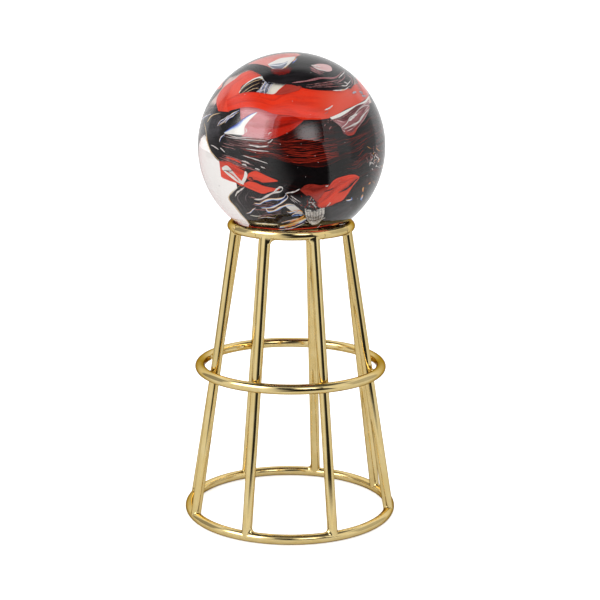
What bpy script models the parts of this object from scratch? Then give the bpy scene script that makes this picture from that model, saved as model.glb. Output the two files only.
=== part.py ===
"""A glass orb resting on a tapered stand of welded wire: three rings and eight legs.

Metres, +Z up. The origin is on the floor, at the centre of the base ring.
"""

import math

import bmesh
import bpy
from mathutils import Vector

# Driving sizes, in metres
ORB_DIAMETER = 0.0789
STAND_HEIGHT = 0.1291          # floor to the top of the top ring
BASE_RING_OUTSIDE = 0.0921     # outside diameter
TOP_RING_OUTSIDE = 0.0544      # outside diameter
MIDDLE_RING_HEIGHT = 0.0655    # floor to the middle of its wire
RING_WIRE = 0.0043             # wire diameter of the three rings
LEG_WIRE = 0.0043              # wire diameter of the legs

# Clearances between pieces that touch on the real object
WELD_GAP = 0.0003
SEAT_GAP = 0.0003

# Where each leg's foot and head sit, in degrees round the stand from +X.
# The legs are set by hand, near an even 45 degrees apart, and some lean a little sideways.
LEG_ANGLES = (
    (28, 20),
    (74, 70),
    (117, 117),
    (163, 154),
    (202, 200),
    (245, 245),
    (294, 292),
    (348, 338),
)

# Fineness of the facets
WIRE_SIDES = 12                # a multiple of 4, so that a flat faces straight down
RING_STEPS = 64
ORB_SEGMENTS = 48
ORB_RINGS = 24

# Sizes that follow from the ones above
ring_wire_radius = RING_WIRE / 2
leg_wire_radius = LEG_WIRE / 2
flat_to_corner = 1 / math.cos(math.pi / WIRE_SIDES)
base_ring_radius = BASE_RING_OUTSIDE / 2 - ring_wire_radius
base_ring_height = ring_wire_radius
top_ring_radius = TOP_RING_OUTSIDE / 2 - ring_wire_radius
top_ring_height = STAND_HEIGHT - ring_wire_radius


def on_circle(radius, degrees, height):
    """A point round the stand's axis."""
    angle = math.radians(degrees)
    return Vector((radius * math.cos(angle), radius * math.sin(angle), height))


def leg_ends(foot_degrees, head_degrees):
    """The ends of a leg's centre line, in the middle of the base ring's and top ring's wires."""
    foot = on_circle(base_ring_radius, foot_degrees, base_ring_height)
    head = on_circle(top_ring_radius, head_degrees, top_ring_height)
    return foot, head


def middle_ring_radius():
    """The smallest ring that goes round the outside of all the legs and keeps the weld gap."""
    widest = 0
    for foot_degrees, head_degrees in LEG_ANGLES:
        foot, head = leg_ends(foot_degrees, head_degrees)
        share = (MIDDLE_RING_HEIGHT - foot.z) / (head.z - foot.z)
        crossing = foot.lerp(head, share)
        widest = max(widest, math.hypot(crossing.x, crossing.y))
    slope = math.atan2(base_ring_radius - top_ring_radius, top_ring_height - base_ring_height)
    centre_distance = (ring_wire_radius + leg_wire_radius) * flat_to_corner + WELD_GAP
    return widest + centre_distance / math.cos(slope)


def orb_height():
    """The height of the orb's centre when the orb lies in the top ring."""
    slant = ORB_DIAMETER / 2 + ring_wire_radius + SEAT_GAP
    return top_ring_height + math.sqrt(slant**2 - top_ring_radius**2)


def clear_scene():
    for old in list(bpy.data.objects):
        bpy.data.objects.remove(old, do_unlink=True)


def new_collection(name):
    collection = bpy.data.collections.new(name)
    bpy.context.scene.collection.children.link(collection)
    return collection


def gold_material():
    material = bpy.data.materials.new("polished_gold_plate")
    material.use_nodes = True
    shader = material.node_tree.nodes["Principled BSDF"]
    shader.inputs["Base Color"].default_value = (0.72, 0.52, 0.22, 1)
    shader.inputs["Metallic"].default_value = 1
    shader.inputs["Roughness"].default_value = 0.15
    return material


def glass_material():
    material = bpy.data.materials.new("clear_glass")
    material.use_nodes = True
    shader = material.node_tree.nodes["Principled BSDF"]
    shader.inputs["Base Color"].default_value = (0.95, 0.94, 0.93, 1)
    shader.inputs["Metallic"].default_value = 0
    shader.inputs["Roughness"].default_value = 0.02
    shader.inputs["IOR"].default_value = 1.5
    shader.inputs["Transmission Weight"].default_value = 1
    return material


def add_object(name, data, collection, parent=None):
    item = bpy.data.objects.new(name, data)
    item.parent = parent
    collection.objects.link(item)
    return item


def wire_ring(name, ring_radius, height, wire_radius, collection, parent=None):
    """A closed ring of round wire, turned round the stand's axis from its section.

    The section is a polygon with its flats on the wire's surface, one of them facing straight down.
    """
    corner_radius = wire_radius * flat_to_corner
    corners = []
    for index in range(WIRE_SIDES):
        angle = math.pi / 2 - (index + 0.5) * math.tau / WIRE_SIDES
        x = ring_radius + corner_radius * math.cos(angle)
        corners.append((x, 0, corner_radius * math.sin(angle)))
    edges = [(index, (index + 1) % WIRE_SIDES) for index in range(WIRE_SIDES)]
    section = bpy.data.meshes.new(name)
    section.from_pydata(corners, edges, [])
    ring = add_object(name, section, collection, parent)
    ring.location.z = height
    turn = ring.modifiers.new("turn", 'SCREW')
    turn.angle = math.tau
    turn.steps = RING_STEPS
    turn.render_steps = RING_STEPS
    turn.use_merge_vertices = True
    turn.merge_threshold = 0.0001
    turn.use_smooth_shade = True
    return ring


def ring_cutter(name, ring, ring_radius, collection, parent):
    """A ring as thick as the real one and its weld gap, which shapes the leg ends that meet it."""
    cutter = wire_ring(name, ring_radius, ring.location.z, ring_wire_radius + WELD_GAP, collection, parent)
    cutter.hide_render = True
    cutter.display_type = 'WIRE'
    return cutter


def straight_wire(name, start, end, collection, parent):
    """A length of round wire with flat ends, as a closed mesh."""
    curve = bpy.data.curves.new(name, 'CURVE')
    curve.dimensions = '3D'
    curve.bevel_depth = leg_wire_radius * flat_to_corner
    curve.bevel_resolution = (WIRE_SIDES - 4) // 2
    curve.use_fill_caps = True
    line = curve.splines.new('POLY')
    line.points.add(1)
    line.points[0].co = (0, 0, 0, 1)
    line.points[1].co = (*(end - start), 1)
    guide = add_object(name, curve, collection, parent)
    guide.location = start
    bpy.context.view_layer.update()
    evaluated = guide.evaluated_get(bpy.context.evaluated_depsgraph_get())
    mesh = bpy.data.meshes.new_from_object(evaluated)
    weld_caps(mesh)
    place = guide.matrix_world.copy()
    bpy.data.objects.remove(guide, do_unlink=True)
    wire = add_object(name, mesh, collection, parent)
    wire.matrix_world = place
    return wire


def weld_caps(mesh):
    """Joins a curve's loose end caps to its tube."""
    work = bmesh.new()
    work.from_mesh(mesh)
    bmesh.ops.remove_doubles(work, verts=work.verts, dist=0.00001)
    bmesh.ops.recalc_face_normals(work, faces=work.faces)
    work.to_mesh(mesh)
    work.free()


def shape_ends(leg, cutters):
    """Cuts a leg's ends to saddles that sit on the rings."""
    for cutter in cutters:
        saddle = leg.modifiers.new("saddle", 'BOOLEAN')
        saddle.operation = 'DIFFERENCE'
        saddle.solver = 'EXACT'
        saddle.object = cutter


def make_orb(collection):
    bpy.ops.mesh.primitive_uv_sphere_add(
        segments=ORB_SEGMENTS, ring_count=ORB_RINGS, radius=ORB_DIAMETER / 2, location=(0, 0, orb_height()))
    orb = bpy.context.object
    orb.name = "crystal_orb"
    for holder in list(orb.users_collection):
        holder.objects.unlink(orb)
    collection.objects.link(orb)
    orb.data.shade_smooth()
    orb.data.materials.append(glass_material())
    return orb


def make_stand(collection, cutters):
    gold = gold_material()
    stand = add_object("stand", None, collection)
    base = wire_ring(
        "base_ring", base_ring_radius, base_ring_height, ring_wire_radius, collection, stand)
    middle = wire_ring(
        "middle_ring", middle_ring_radius(), MIDDLE_RING_HEIGHT, ring_wire_radius, collection, stand)
    top = wire_ring(
        "top_ring", top_ring_radius, top_ring_height, ring_wire_radius, collection, stand)
    saddles = (
        ring_cutter("base_saddle", base, base_ring_radius, cutters, stand),
        ring_cutter("top_saddle", top, top_ring_radius, cutters, stand),
    )
    legs = []
    for number, (foot_degrees, head_degrees) in enumerate(LEG_ANGLES, start=1):
        foot, head = leg_ends(foot_degrees, head_degrees)
        leg = straight_wire(f"leg_{number}", foot, head, collection, stand)
        shape_ends(leg, saddles)
        leg.data.shade_smooth()
        legs.append(leg)
    for piece in (base, middle, top, *legs):
        piece.data.materials.append(gold)


def main():
    clear_scene()
    parts = new_collection("crystal_orb_with_stand")
    cutters = new_collection("cutters")
    make_orb(parts)
    make_stand(parts, cutters)


main()
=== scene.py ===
"""A solid glass orb with red and black glass in it, on a gold wire stand: the looks."""
import math
import random

import bmesh
import bpy
from mathutils import Matrix, Vector


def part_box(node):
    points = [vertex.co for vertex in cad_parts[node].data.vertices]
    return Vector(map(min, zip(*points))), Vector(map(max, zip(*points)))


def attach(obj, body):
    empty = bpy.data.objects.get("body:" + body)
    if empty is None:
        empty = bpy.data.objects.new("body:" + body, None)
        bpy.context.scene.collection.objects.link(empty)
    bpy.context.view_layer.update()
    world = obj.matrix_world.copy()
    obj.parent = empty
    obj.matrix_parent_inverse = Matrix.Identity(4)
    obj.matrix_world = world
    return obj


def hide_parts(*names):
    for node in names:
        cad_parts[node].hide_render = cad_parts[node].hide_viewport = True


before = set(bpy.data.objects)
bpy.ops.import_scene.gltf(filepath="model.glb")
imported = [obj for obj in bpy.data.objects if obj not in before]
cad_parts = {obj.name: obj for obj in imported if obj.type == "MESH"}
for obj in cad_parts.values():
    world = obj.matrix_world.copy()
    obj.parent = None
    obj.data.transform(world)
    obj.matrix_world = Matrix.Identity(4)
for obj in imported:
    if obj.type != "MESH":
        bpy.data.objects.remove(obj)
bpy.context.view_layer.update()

# Sizes read from the frame, in metres
orb_low, orb_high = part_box("crystal_orb")
base_low, base_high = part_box("base_ring")
SEAT_GAP = 0.0003              # the orb's CAD solid hangs this far above its seat
ORB_CENTRE = (orb_low + orb_high) / 2
GLASS_CENTRE = ORB_CENTRE - Vector((0, 0, SEAT_GAP))
ORB_RADIUS = (orb_high.z - orb_low.z) / 2
RING_WIRE = (base_high.z - base_low.z) / 2
LEG_WIRE = 0.00212             # a radius, as RING_WIRE is

# Camera: found by fitting the rings and the orb to the photograph
CAMERA_PLACE = Vector((-0.00487, -0.6504, 0.2410))
CAMERA_PITCH = math.radians(-12.716)
CAMERA_YAW = math.radians(-0.775)
CAMERA_ROLL = math.radians(0.341)
CAMERA_TURN = (
    Matrix.Rotation(CAMERA_YAW, 4, 'Z') @ Matrix.Rotation(CAMERA_PITCH, 4, 'X')
    @ Matrix.Rotation(math.pi / 2, 4, 'X') @ Matrix.Rotation(CAMERA_ROLL, 4, 'Z'))
CAMERA_LENS = 93.14
CAMERA_SENSOR = 36

GLASS_BEND = 1.5               # index of refraction


def deselect():
    if bpy.context.object and bpy.context.object.mode != 'OBJECT':
        bpy.ops.object.mode_set(mode='OBJECT')
    bpy.ops.object.select_all(action='DESELECT')


def add(name, operator, **settings):
    """Adds a primitive with nothing else selected, and names it."""
    deselect()
    operator(**settings)
    piece = bpy.context.object
    piece.name = name
    return piece


def edit(piece):
    """Opens a piece in edit mode, with all of it selected."""
    deselect()
    piece.select_set(True)
    bpy.context.view_layer.objects.active = piece
    bpy.ops.object.mode_set(mode='EDIT')
    bpy.ops.mesh.select_all(action='SELECT')


def hide_from(piece, *rays):
    """Hides a piece from these kinds of rays."""
    for kind in rays:
        setattr(piece, "visible_" + kind, False)


def dress(piece, finish, slot, *nodes):
    """Puts a finished piece's place into its mesh, gives it its material and hides its CAD nodes. The slot
    is not used.
    """
    piece.data.transform(piece.matrix_world)
    piece.matrix_world = Matrix.Identity(4)
    piece.data.materials.clear()
    piece.data.materials.append(finish)
    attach(piece, "root")
    if nodes:
        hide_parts(*nodes)


class Value:
    """A number that varies over a surface. Sums written with it become Math nodes."""

    def __init__(self, finish, socket):
        self.finish = finish
        self.socket = socket

    def math(self, operation, *terms):
        return self.finish.node('ShaderNodeMath', {'operation': operation}, *terms)

    def __add__(self, other):
        return self.math('ADD', self, other)

    def __sub__(self, other):
        return self.math('SUBTRACT', self, other)

    def __rsub__(self, other):
        return self.math('SUBTRACT', other, self)

    def __mul__(self, other):
        return self.math('MULTIPLY', self, other)

    def __pow__(self, other):
        return self.math('POWER', self, other)

    __radd__ = __add__
    __rmul__ = __mul__

    def between(self, low, high):
        """0 below low, 1 above high, and smooth between them."""
        return self.finish.node(
            'ShaderNodeMapRange', {'interpolation_type': 'SMOOTHSTEP'}, self, low, high, 0.0, 1.0)


class Finish:
    """One material as it is built: a Principled shader and what feeds it."""

    def __init__(self, name, **constants):
        self.material = bpy.data.materials.new(name)
        self.material.use_nodes = True
        self.tree = self.material.node_tree
        self.shader = self.tree.nodes["Principled BSDF"]
        for socket, value in constants.items():
            self.shader.inputs[socket.replace("_", " ")].default_value = value

    def node(self, kind, settings, *values, output=0, **named):
        """Adds a node: its settings first, then the values or links of its sockets, in order or by name."""
        item = self.tree.nodes.new(kind)
        for key, value in settings.items():
            if key == 'stops':
                self.colour_stops(item.color_ramp, value)
            else:
                setattr(item, key, value)
        pairs = list(zip(item.inputs, values))
        pairs += [(item.inputs[key.replace("_", " ")], value) for key, value in named.items()]
        for socket, value in pairs:
            if isinstance(value, Value):
                self.tree.links.new(value.socket, socket)
            elif value is not None:
                socket.default_value = value
        return Value(self, item.outputs[output])

    @staticmethod
    def colour_stops(ramp, stops):
        while len(ramp.elements) < len(stops):
            ramp.elements.new(1.0)
        for element, (place, colour) in zip(ramp.elements, stops):
            element.position = place
            element.color = (*colour, 1)

    def feed(self, socket, value):
        self.tree.links.new(value.socket, self.shader.inputs[socket])

    def place(self):
        """Object coordinates."""
        return self.node('ShaderNodeTexCoord', {}, output=3)

    def noise(self, vector, scale, detail=2.0, roughness=0.5, distortion=0.0):
        return self.node(
            'ShaderNodeTexNoise', {}, Vector=vector, Scale=scale, Detail=detail,
            Roughness=roughness, Distortion=distortion)

    def mix(self, share, first, second):
        item = self.tree.nodes.new('ShaderNodeMix')
        item.data_type = 'RGBA'
        for socket, value in zip((item.inputs[0], item.inputs[6], item.inputs[7]), (share, first, second)):
            if isinstance(value, Value):
                self.tree.links.new(value.socket, socket)
            else:
                socket.default_value = value if socket.type == 'VALUE' else (*value, 1)
        return Value(self, item.outputs[2])

    def bump(self, height, strength, distance):
        self.feed("Normal", self.node(
            'ShaderNodeBump', {}, Strength=strength, Distance=distance, Height=height))


def gold_finish():
    """Bright gold plating over drawn steel wire: almost a mirror, a little uneven."""
    gold = Finish("polished_gold_plate", Metallic=1.0, Specular_Tint=(0.34, 0.22, 0.10, 1))
    place = gold.place()
    cloud = gold.noise(place, 140.0, 3.0)
    fine = gold.noise(place, 900.0, 2.0)
    warm = gold.mix(cloud.between(0.35, 0.7), (0.79, 0.61, 0.27), (0.84, 0.67, 0.33))
    gold.feed("Base Color", warm)
    gold.feed("Roughness", 0.06 + cloud * 0.05)
    gold.bump(cloud * 0.8 + fine * 0.2, 0.09, 0.0003)
    return gold.material


def glass_finish():
    glass = Finish(
        "clear_crystal", Base_Color=(0.82, 0.80, 0.775, 1), Roughness=0.0, IOR=GLASS_BEND,
        Transmission_Weight=1.0)
    return glass.material


def make_camera():
    data = bpy.data.cameras.new("camera")
    data.lens = CAMERA_LENS
    data.sensor_width = CAMERA_SENSOR
    data.dof.use_dof = False
    camera = bpy.data.objects.new("camera", data)
    bpy.context.scene.collection.objects.link(camera)
    camera.matrix_world = Matrix.Translation(CAMERA_PLACE) @ CAMERA_TURN
    bpy.context.scene.camera = camera


class Ring:
    """A wire ring of the stand, as the frame gives it: its mean radius and its height."""

    def __init__(self, node):
        self.node = node
        low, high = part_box(node)
        self.radius = (high.x - low.x) / 2 - RING_WIRE
        self.height = (low.z + high.z) / 2

    def heart(self, point):
        """The nearest point on the middle line of the wire."""
        flat = Vector((point.x, point.y, 0)).normalized() * self.radius
        flat.z = self.height
        return flat

    def gap(self, point):
        return (point - self.heart(point)).length - RING_WIRE

    def outward(self, point):
        return (point - self.heart(point)).normalized()

    def skin(self, point, sunk=0.0):
        """The nearest point on the wire's surface, or a little under it."""
        return self.heart(point) + self.outward(point) * (RING_WIRE - sunk)


base = Ring("base_ring")
middle = Ring("middle_ring")
top = Ring("top_ring")


def make_ring(ring, finish):
    piece = add(
        "gold_" + ring.node, bpy.ops.mesh.primitive_torus_add, major_segments=256, minor_segments=32,
        major_radius=ring.radius, minor_radius=RING_WIRE, location=(0, 0, ring.height))
    bpy.ops.object.shade_smooth()
    dress(piece, finish, "gold_wire", ring.node)


def bare_tube(name, rows, corners):
    """An open tube of evenly spaced rows, ready to be shaped: a cylinder cut across its length."""
    tube = add(
        name, bpy.ops.mesh.primitive_cylinder_add, vertices=corners, radius=1, depth=2,
        end_fill_type='NOTHING')
    edit(tube)
    bpy.ops.mesh.select_mode(type='EDGE')
    bpy.ops.mesh.select_all(action='DESELECT')
    work = bmesh.from_edit_mesh(tube.data)
    for edge in work.edges:
        edge.select = abs(edge.verts[0].co.z - edge.verts[1].co.z) > 1
    bmesh.update_edit_mesh(tube.data)
    bpy.ops.mesh.subdivide(number_cuts=rows - 2)
    bpy.ops.object.mode_set(mode='OBJECT')
    return tube


def shape_tube(tube, rows, shape):
    """Moves every corner of a bare tube to shape(row, angle), then closes both ends."""
    for corner in tube.data.vertices:
        row = round((corner.co.z + 1) / 2 * (rows - 1))
        angle = math.atan2(corner.co.y, corner.co.x)
        corner.co = shape(row, angle)
    edit(tube)
    bpy.ops.mesh.select_all(action='DESELECT')
    bpy.ops.mesh.select_mode(type='EDGE')
    bpy.ops.mesh.select_non_manifold()
    bpy.ops.mesh.edge_face_add()
    bpy.ops.mesh.select_all(action='SELECT')
    bpy.ops.mesh.normals_make_consistent(inside=False)
    bpy.ops.object.mode_set(mode='OBJECT')
    bpy.ops.object.shade_smooth()


def curve_between(start, corner, end, share):
    """A point on the smooth bend from start to end that leans on corner."""
    return start.lerp(corner, share).lerp(corner.lerp(end, share), share)


LEG_NUMBERS = range(1, 9)
LEG_CORNERS = 48
BEND_ROWS = 12                 # rows in each weld's fillet
SHAFT_ROWS = 8
LEG_ROWS = 2 * (BEND_ROWS + 1) + SHAFT_ROWS
WELD_REACH = 0.0007            # how far a weld's fillet runs along each wire
HEAD_BEND = 0.0031             # the same where two neighbouring legs are one bent rod
FOOT_BEND = 0.0024
WELD_UNEVEN = 0.12             # how much that varies round a leg, as a share
WELD_SUNK = 0.0006             # how deep a leg's closed end lies in the ring
WELD_EDGE_SUNK = 0.00004       # the same for the fillet's edge
SEARCH_STEP = 0.00005          # along a leg's side, to find the ring's surface
SEARCH_STEPS = 160
SEAM_REACH = 0.0016            # from a leg's side to the ring's seam
SEAM_WIRE = 0.00016
SEAM_WAVE = 0.00012
BEAD_OUT = 0.0010              # half sizes of a bead on the middle ring
BEAD_ALONG = 0.00145
BEAD_UP = 0.00125


def twin_side(number):
    """The side on which a leg's twin stands: 2 and 3, 4 and 5, 6 and 7, 8 and 1 are twins."""
    return 1 if number % 2 == 0 else -1


def leg_line(node):
    """A leg's two ends on the middle lines of the base ring and the top ring, from its CAD solid."""
    leg_low, leg_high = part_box(node)
    half_way = (leg_low.z + leg_high.z) / 2
    low_points, high_points = [], []
    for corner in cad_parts[node].data.vertices:
        (low_points if corner.co.z < half_way else high_points).append(corner.co)
    low = sum(low_points, Vector()) / len(low_points)
    high = sum(high_points, Vector()) / len(high_points)
    way = (high - low).normalized()
    foot = low + way * ((base.height - low.z) / way.z)
    head = high + way * ((top.height - high.z) / way.z)
    return foot, head


def bend_size(full, angle, number):
    """The fillet's size at this angle round a leg, a little uneven. It is largest toward the twin."""
    toward = max(0.0, math.sin(angle) * twin_side(number))
    uneven = 1 + WELD_UNEVEN * math.sin(2 * angle + number * 2.1)
    return (WELD_REACH + (full - WELD_REACH) * toward ** 1.5) * uneven


def make_leg(number, finish):
    node = f"leg_{number}"
    foot, head = leg_line(node)
    way = (head - foot).normalized()
    out = Vector((foot.x, foot.y, 0)).normalized()
    out = (out - way * out.dot(way)).normalized()
    side = way.cross(out)

    def landing(ring, end, inward, angle, full):
        """Where one line along the leg starts its weld, meets the ring and ends on the ring."""
        face = out * math.cos(angle) + side * math.sin(angle)
        rim = end + face * LEG_WIRE
        steps = [index * SEARCH_STEP for index in range(SEARCH_STEPS)]
        reach = next((step for step in reversed(steps) if ring.gap(rim + inward * step) <= 0), None)
        if reach is None:
            reach = min(steps, key=lambda step: ring.gap(rim + inward * step))
        meet = ring.skin(rim + inward * reach)
        normal = ring.outward(meet)
        away = (face - inward) - normal * (face - inward).dot(normal)
        size = bend_size(full, angle, number)
        edge = ring.skin(meet + away.normalized() * size, WELD_EDGE_SUNK)
        return rim + inward * (reach + size), meet, edge

    ends = {}

    def shape(row, angle):
        key = round(angle, 5)
        if key not in ends:
            ends[key] = (
                landing(base, foot, way, angle, FOOT_BEND), landing(top, head, -way, angle, HEAD_BEND))
        low_end, high_end = ends[key]
        if row == 0:
            return base.skin(low_end[2].lerp(foot, 0.5), WELD_SUNK)
        if row == LEG_ROWS - 1:
            return top.skin(high_end[2].lerp(head, 0.5), WELD_SUNK)
        if row <= BEND_ROWS:
            return curve_between(*low_end, 1 - (row - 1) / BEND_ROWS)
        if row >= LEG_ROWS - 1 - BEND_ROWS:
            return curve_between(*high_end, (row + 2 + BEND_ROWS - LEG_ROWS) / BEND_ROWS)
        return low_end[0].lerp(high_end[0], (row - BEND_ROWS) / (SHAFT_ROWS + 1))

    leg = bare_tube("gold_" + node, LEG_ROWS, LEG_CORNERS)
    shape_tube(leg, LEG_ROWS, shape)
    dress(leg, finish, "gold_wire", node)


def make_seam(number, finish):
    """A fine closed seam of the top ring beside a leg, away from its twin."""
    head = leg_line(f"leg_{number}")[1]
    around = math.atan2(head.y, head.x) - twin_side(number) * (LEG_WIRE + SEAM_REACH) / top.radius
    seam = add(
        f"top_seam_{number}", bpy.ops.mesh.primitive_torus_add, major_segments=48, minor_segments=10,
        major_radius=RING_WIRE, minor_radius=SEAM_WIRE)
    for corner in seam.data.vertices:
        turn = math.atan2(corner.co.y, corner.co.x)
        corner.co.z += SEAM_WAVE * (math.sin(3 * turn + number) + 0.5 * math.sin(7 * turn))
        corner.co.xy *= 1 + 0.006 * math.sin(5 * turn + number)
    bpy.ops.object.shade_smooth()
    upright = Matrix.Translation((top.radius, 0, top.height)) @ Matrix.Rotation(math.pi / 2, 4, 'X')
    seam.data.transform(Matrix.Rotation(around, 4, 'Z') @ upright)
    dress(seam, finish, "gold_wire")


def make_bead(number, finish):
    """The small bead of weld that holds the middle ring to the outer side of a leg."""
    foot, head = leg_line(f"leg_{number}")
    cross = foot.lerp(head, (middle.height - foot.z) / (head.z - foot.z))
    apart = middle.heart(cross) - cross
    out = apart.normalized()
    spot = cross + out * (apart.length + LEG_WIRE - RING_WIRE) / 2
    bead = add(
        f"middle_weld_{number}", bpy.ops.mesh.primitive_uv_sphere_add, segments=32, ring_count=20, radius=1)
    for corner in bead.data.vertices:
        x, y, z = corner.co
        lump = 1 + 0.10 * math.sin(4 * x + number) * math.cos(5 * z + 2 * number)
        waist = (0.72 + 0.28 * abs(x)) * lump
        corner.co = Vector((x * BEAD_OUT, y * BEAD_ALONG * waist, z * BEAD_UP * waist))
    bpy.ops.object.shade_smooth()
    bead.data.transform(Matrix.Translation(spot) @ Matrix.Rotation(math.atan2(out.y, out.x), 4, 'Z'))
    dress(bead, finish, "gold_wire")


def make_orb(finish):
    orb = add(
        "clear_orb", bpy.ops.mesh.primitive_uv_sphere_add, segments=160, ring_count=80, radius=ORB_RADIUS,
        location=GLASS_CENTRE)
    bpy.ops.object.shade_smooth()
    hide_from(orb, "shadow", "diffuse")
    dress(orb, finish, "glass", "crystal_orb")


TENT_LIGHT = 0.92              # radiance of the tent's walls
TENT_WHITE = 1.12              # the same, as the camera sees them
PAPER_GLOW = 0.60              # the backlit paper that the camera sees
FLAG_GLOW = 0.66               # the grey boards beside the tent
FLAG_SIDE = 0.60
FLAG_SIZE = (0.90, 0.56)       # height and depth
ROOM_GLOW = 0.02
ROOM_SOFTNESS = (0.30, 0.05)   # of its sides and its ends, as shares of its half
NOT_MIRRORED = ("camera", "diffuse", "transmission", "shadow")  # all rays but mirror reflections

# Cards that face the orb: name, azimuth, height and distance from it, size, radiance, softness, surround
FACING_CARDS = (
    ("left_box", (-54, 27, 0.78), (0.74, 0.54), 5.2, 0.45, TENT_LIGHT),
    ("right_box", (20, 21, 0.76), (0.50, 0.50), 4.2, 0.9, 0.1),
    ("dim_right", (98, 8, 0.80), (0.84, 0.9), 0.55, 0.3, TENT_LIGHT),
    ("dim_left", (-106, 8, 0.80), (0.70, 0.9), 0.35, 0.3, TENT_LIGHT),
    ("dim_roof", (0, 84, 1.6), (3.6, 2.2), 0.10, 0.45, TENT_LIGHT),
)

# The dark room's corners, left and right: by the stand, at the foot and at the top of its back wall
DARK_ROOM_EDGES = (
    ((-0.07, -0.10, 0.002), (0.15, -0.10, 0.002)),
    ((-0.36, -0.85, 0.44), (0.60, -0.85, 0.44)),
    ((-0.30, -0.85, 0.95), (0.40, -0.85, 0.95)),
)


def make_studio():
    """A pale table in a white tent, with soft boxes, a dim roof and a dark room in front of the table."""
    sheet = floor_sheet("floor", -0.0001, (0.95, 0.95, 0.95, 1), PAPER_GLOW)
    hide_from(sheet, "diffuse", "glossy")
    table = floor_sheet("table", -0.0003, (0.85, 0.85, 0.84, 1), 0.0)
    hide_from(table, "camera", "transmission")
    make_tent()
    lamp = soft_box("key_light", Vector((-0.9, -0.6, 1.3)), (0.8, 0.8), 2.0)
    hide_from(lamp, "glossy", "transmission")
    for name, where, size, radiance, soft, surround in FACING_CARDS:
        face_orb(reflected_card(name, toward(*where), size, radiance, surround, soft))
    face_orb(reflected_card("bright_back", Vector((0, 1.5, 1.0)), (6.5, 2.6), 1.0))
    reflected_card("bright_sweep", Vector((0, 0.95, 0.0006)), (6.5, 1.5), 0.95)
    dark_room()
    edge_flag("left_flag", -FLAG_SIDE)
    edge_flag("right_flag", FLAG_SIDE)


def toward(azimuth, height, reach):
    """A place seen from the orb at this azimuth, from the front to the right, and height, in degrees."""
    azimuth, height = math.radians(azimuth), math.radians(height)
    return ORB_CENTRE + reach * Vector((
        math.sin(azimuth) * math.cos(height), -math.cos(azimuth) * math.cos(height), math.sin(height)))


def face_orb(card):
    card.rotation_euler = (ORB_CENTRE - card.location).to_track_quat('Z', 'Y').to_euler()


def reflected_card(name, place, size, radiance, surround=TENT_LIGHT, soft=0.0):
    """A level glowing cloth that only mirror reflections see."""
    card = add(name, bpy.ops.mesh.primitive_plane_add, size=1)
    card.scale = (*size, 1)
    card.location = place
    card.data.materials.append(glowing_cloth(name, radiance, surround, (soft, soft)))
    hide_from(card, *NOT_MIRRORED)
    return card


def glowing_cloth(name, radiance, surround=TENT_LIGHT, softness=(0.0, 0.0)):
    """Cloth of one radiance. Its sides and its ends fade into the surround over these shares of its half."""
    cloth = Finish(
        name + "_cloth", Base_Color=(0, 0, 0, 1), Specular_IOR_Level=0.0,
        Emission_Color=(radiance, radiance, radiance, 1), Emission_Strength=1.0)
    if softness[0]:
        cover = 1
        for axis, soft in enumerate(softness):
            spot = cloth.node('ShaderNodeUVMap', {'uv_map': "UVMap"})
            offset = cloth.node('ShaderNodeSeparateXYZ', {}, spot, output=axis) * 2 - 1
            cover = cover * (1 - (offset * offset) ** 0.5).between(0.0, soft)
        cloth.feed("Emission Color", cloth.mix(cover, (surround,) * 3, (radiance,) * 3))
    return cloth.material


def floor_sheet(name, height, colour, glow):
    sheet = add(name, bpy.ops.mesh.primitive_plane_add, size=8, location=(0, 0, height))
    paper = Finish(
        name + "_paper", Base_Color=colour, Roughness=0.9, Specular_IOR_Level=0.0,
        Emission_Color=(1, 1, 1, 1), Emission_Strength=glow)
    sheet.data.materials.append(paper.material)
    return sheet


def make_tent():
    """White walls all round: full white to the camera and through the glass, a little less as light."""
    world = bpy.data.worlds.new("tent")
    bpy.context.scene.world = world
    world.use_nodes = True
    tree = world.node_tree
    walls, seen = tree.nodes["Background"], tree.nodes.new('ShaderNodeBackground')
    for white, strength in ((walls, TENT_LIGHT), (seen, TENT_WHITE)):
        white.inputs["Color"].default_value = (1, 1, 1, 1)
        white.inputs["Strength"].default_value = strength
    path = tree.nodes.new('ShaderNodeLightPath')
    either = tree.nodes.new('ShaderNodeMath')
    either.operation = 'MAXIMUM'
    tree.links.new(path.outputs["Is Camera Ray"], either.inputs[0])
    tree.links.new(path.outputs["Is Transmission Ray"], either.inputs[1])
    blend = tree.nodes.new('ShaderNodeMixShader')
    tree.links.new(either.outputs[0], blend.inputs[0])
    tree.links.new(walls.outputs[0], blend.inputs[1])
    tree.links.new(seen.outputs[0], blend.inputs[2])
    tree.links.new(blend.outputs[0], tree.nodes["World Output"].inputs["Surface"])


def soft_box(name, place, size, radiance):
    """A rectangular light that faces the orb."""
    data = bpy.data.lights.new(name, 'AREA')
    data.shape = 'RECTANGLE'
    data.size, data.size_y = size
    data.energy = radiance * math.pi * size[0] * size[1]
    lamp = bpy.data.objects.new(name, data)
    bpy.context.scene.collection.objects.link(lamp)
    lamp.location = place
    lamp.rotation_euler = (place - ORB_CENTRE).to_track_quat('Z', 'Y').to_euler()
    return lamp


def dark_room():
    """The dark room before the table: a rising floor and a back wall that only mirror reflections see."""
    card = add("dark_room", bpy.ops.mesh.primitive_grid_add, x_subdivisions=1, y_subdivisions=2, size=1)
    for corner, spot in zip(card.data.vertices, (spot for edge in DARK_ROOM_EDGES for spot in edge)):
        corner.co = spot
    card.data.materials.append(glowing_cloth("dark_room", ROOM_GLOW, softness=ROOM_SOFTNESS))
    hide_from(card, *NOT_MIRRORED)


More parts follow.
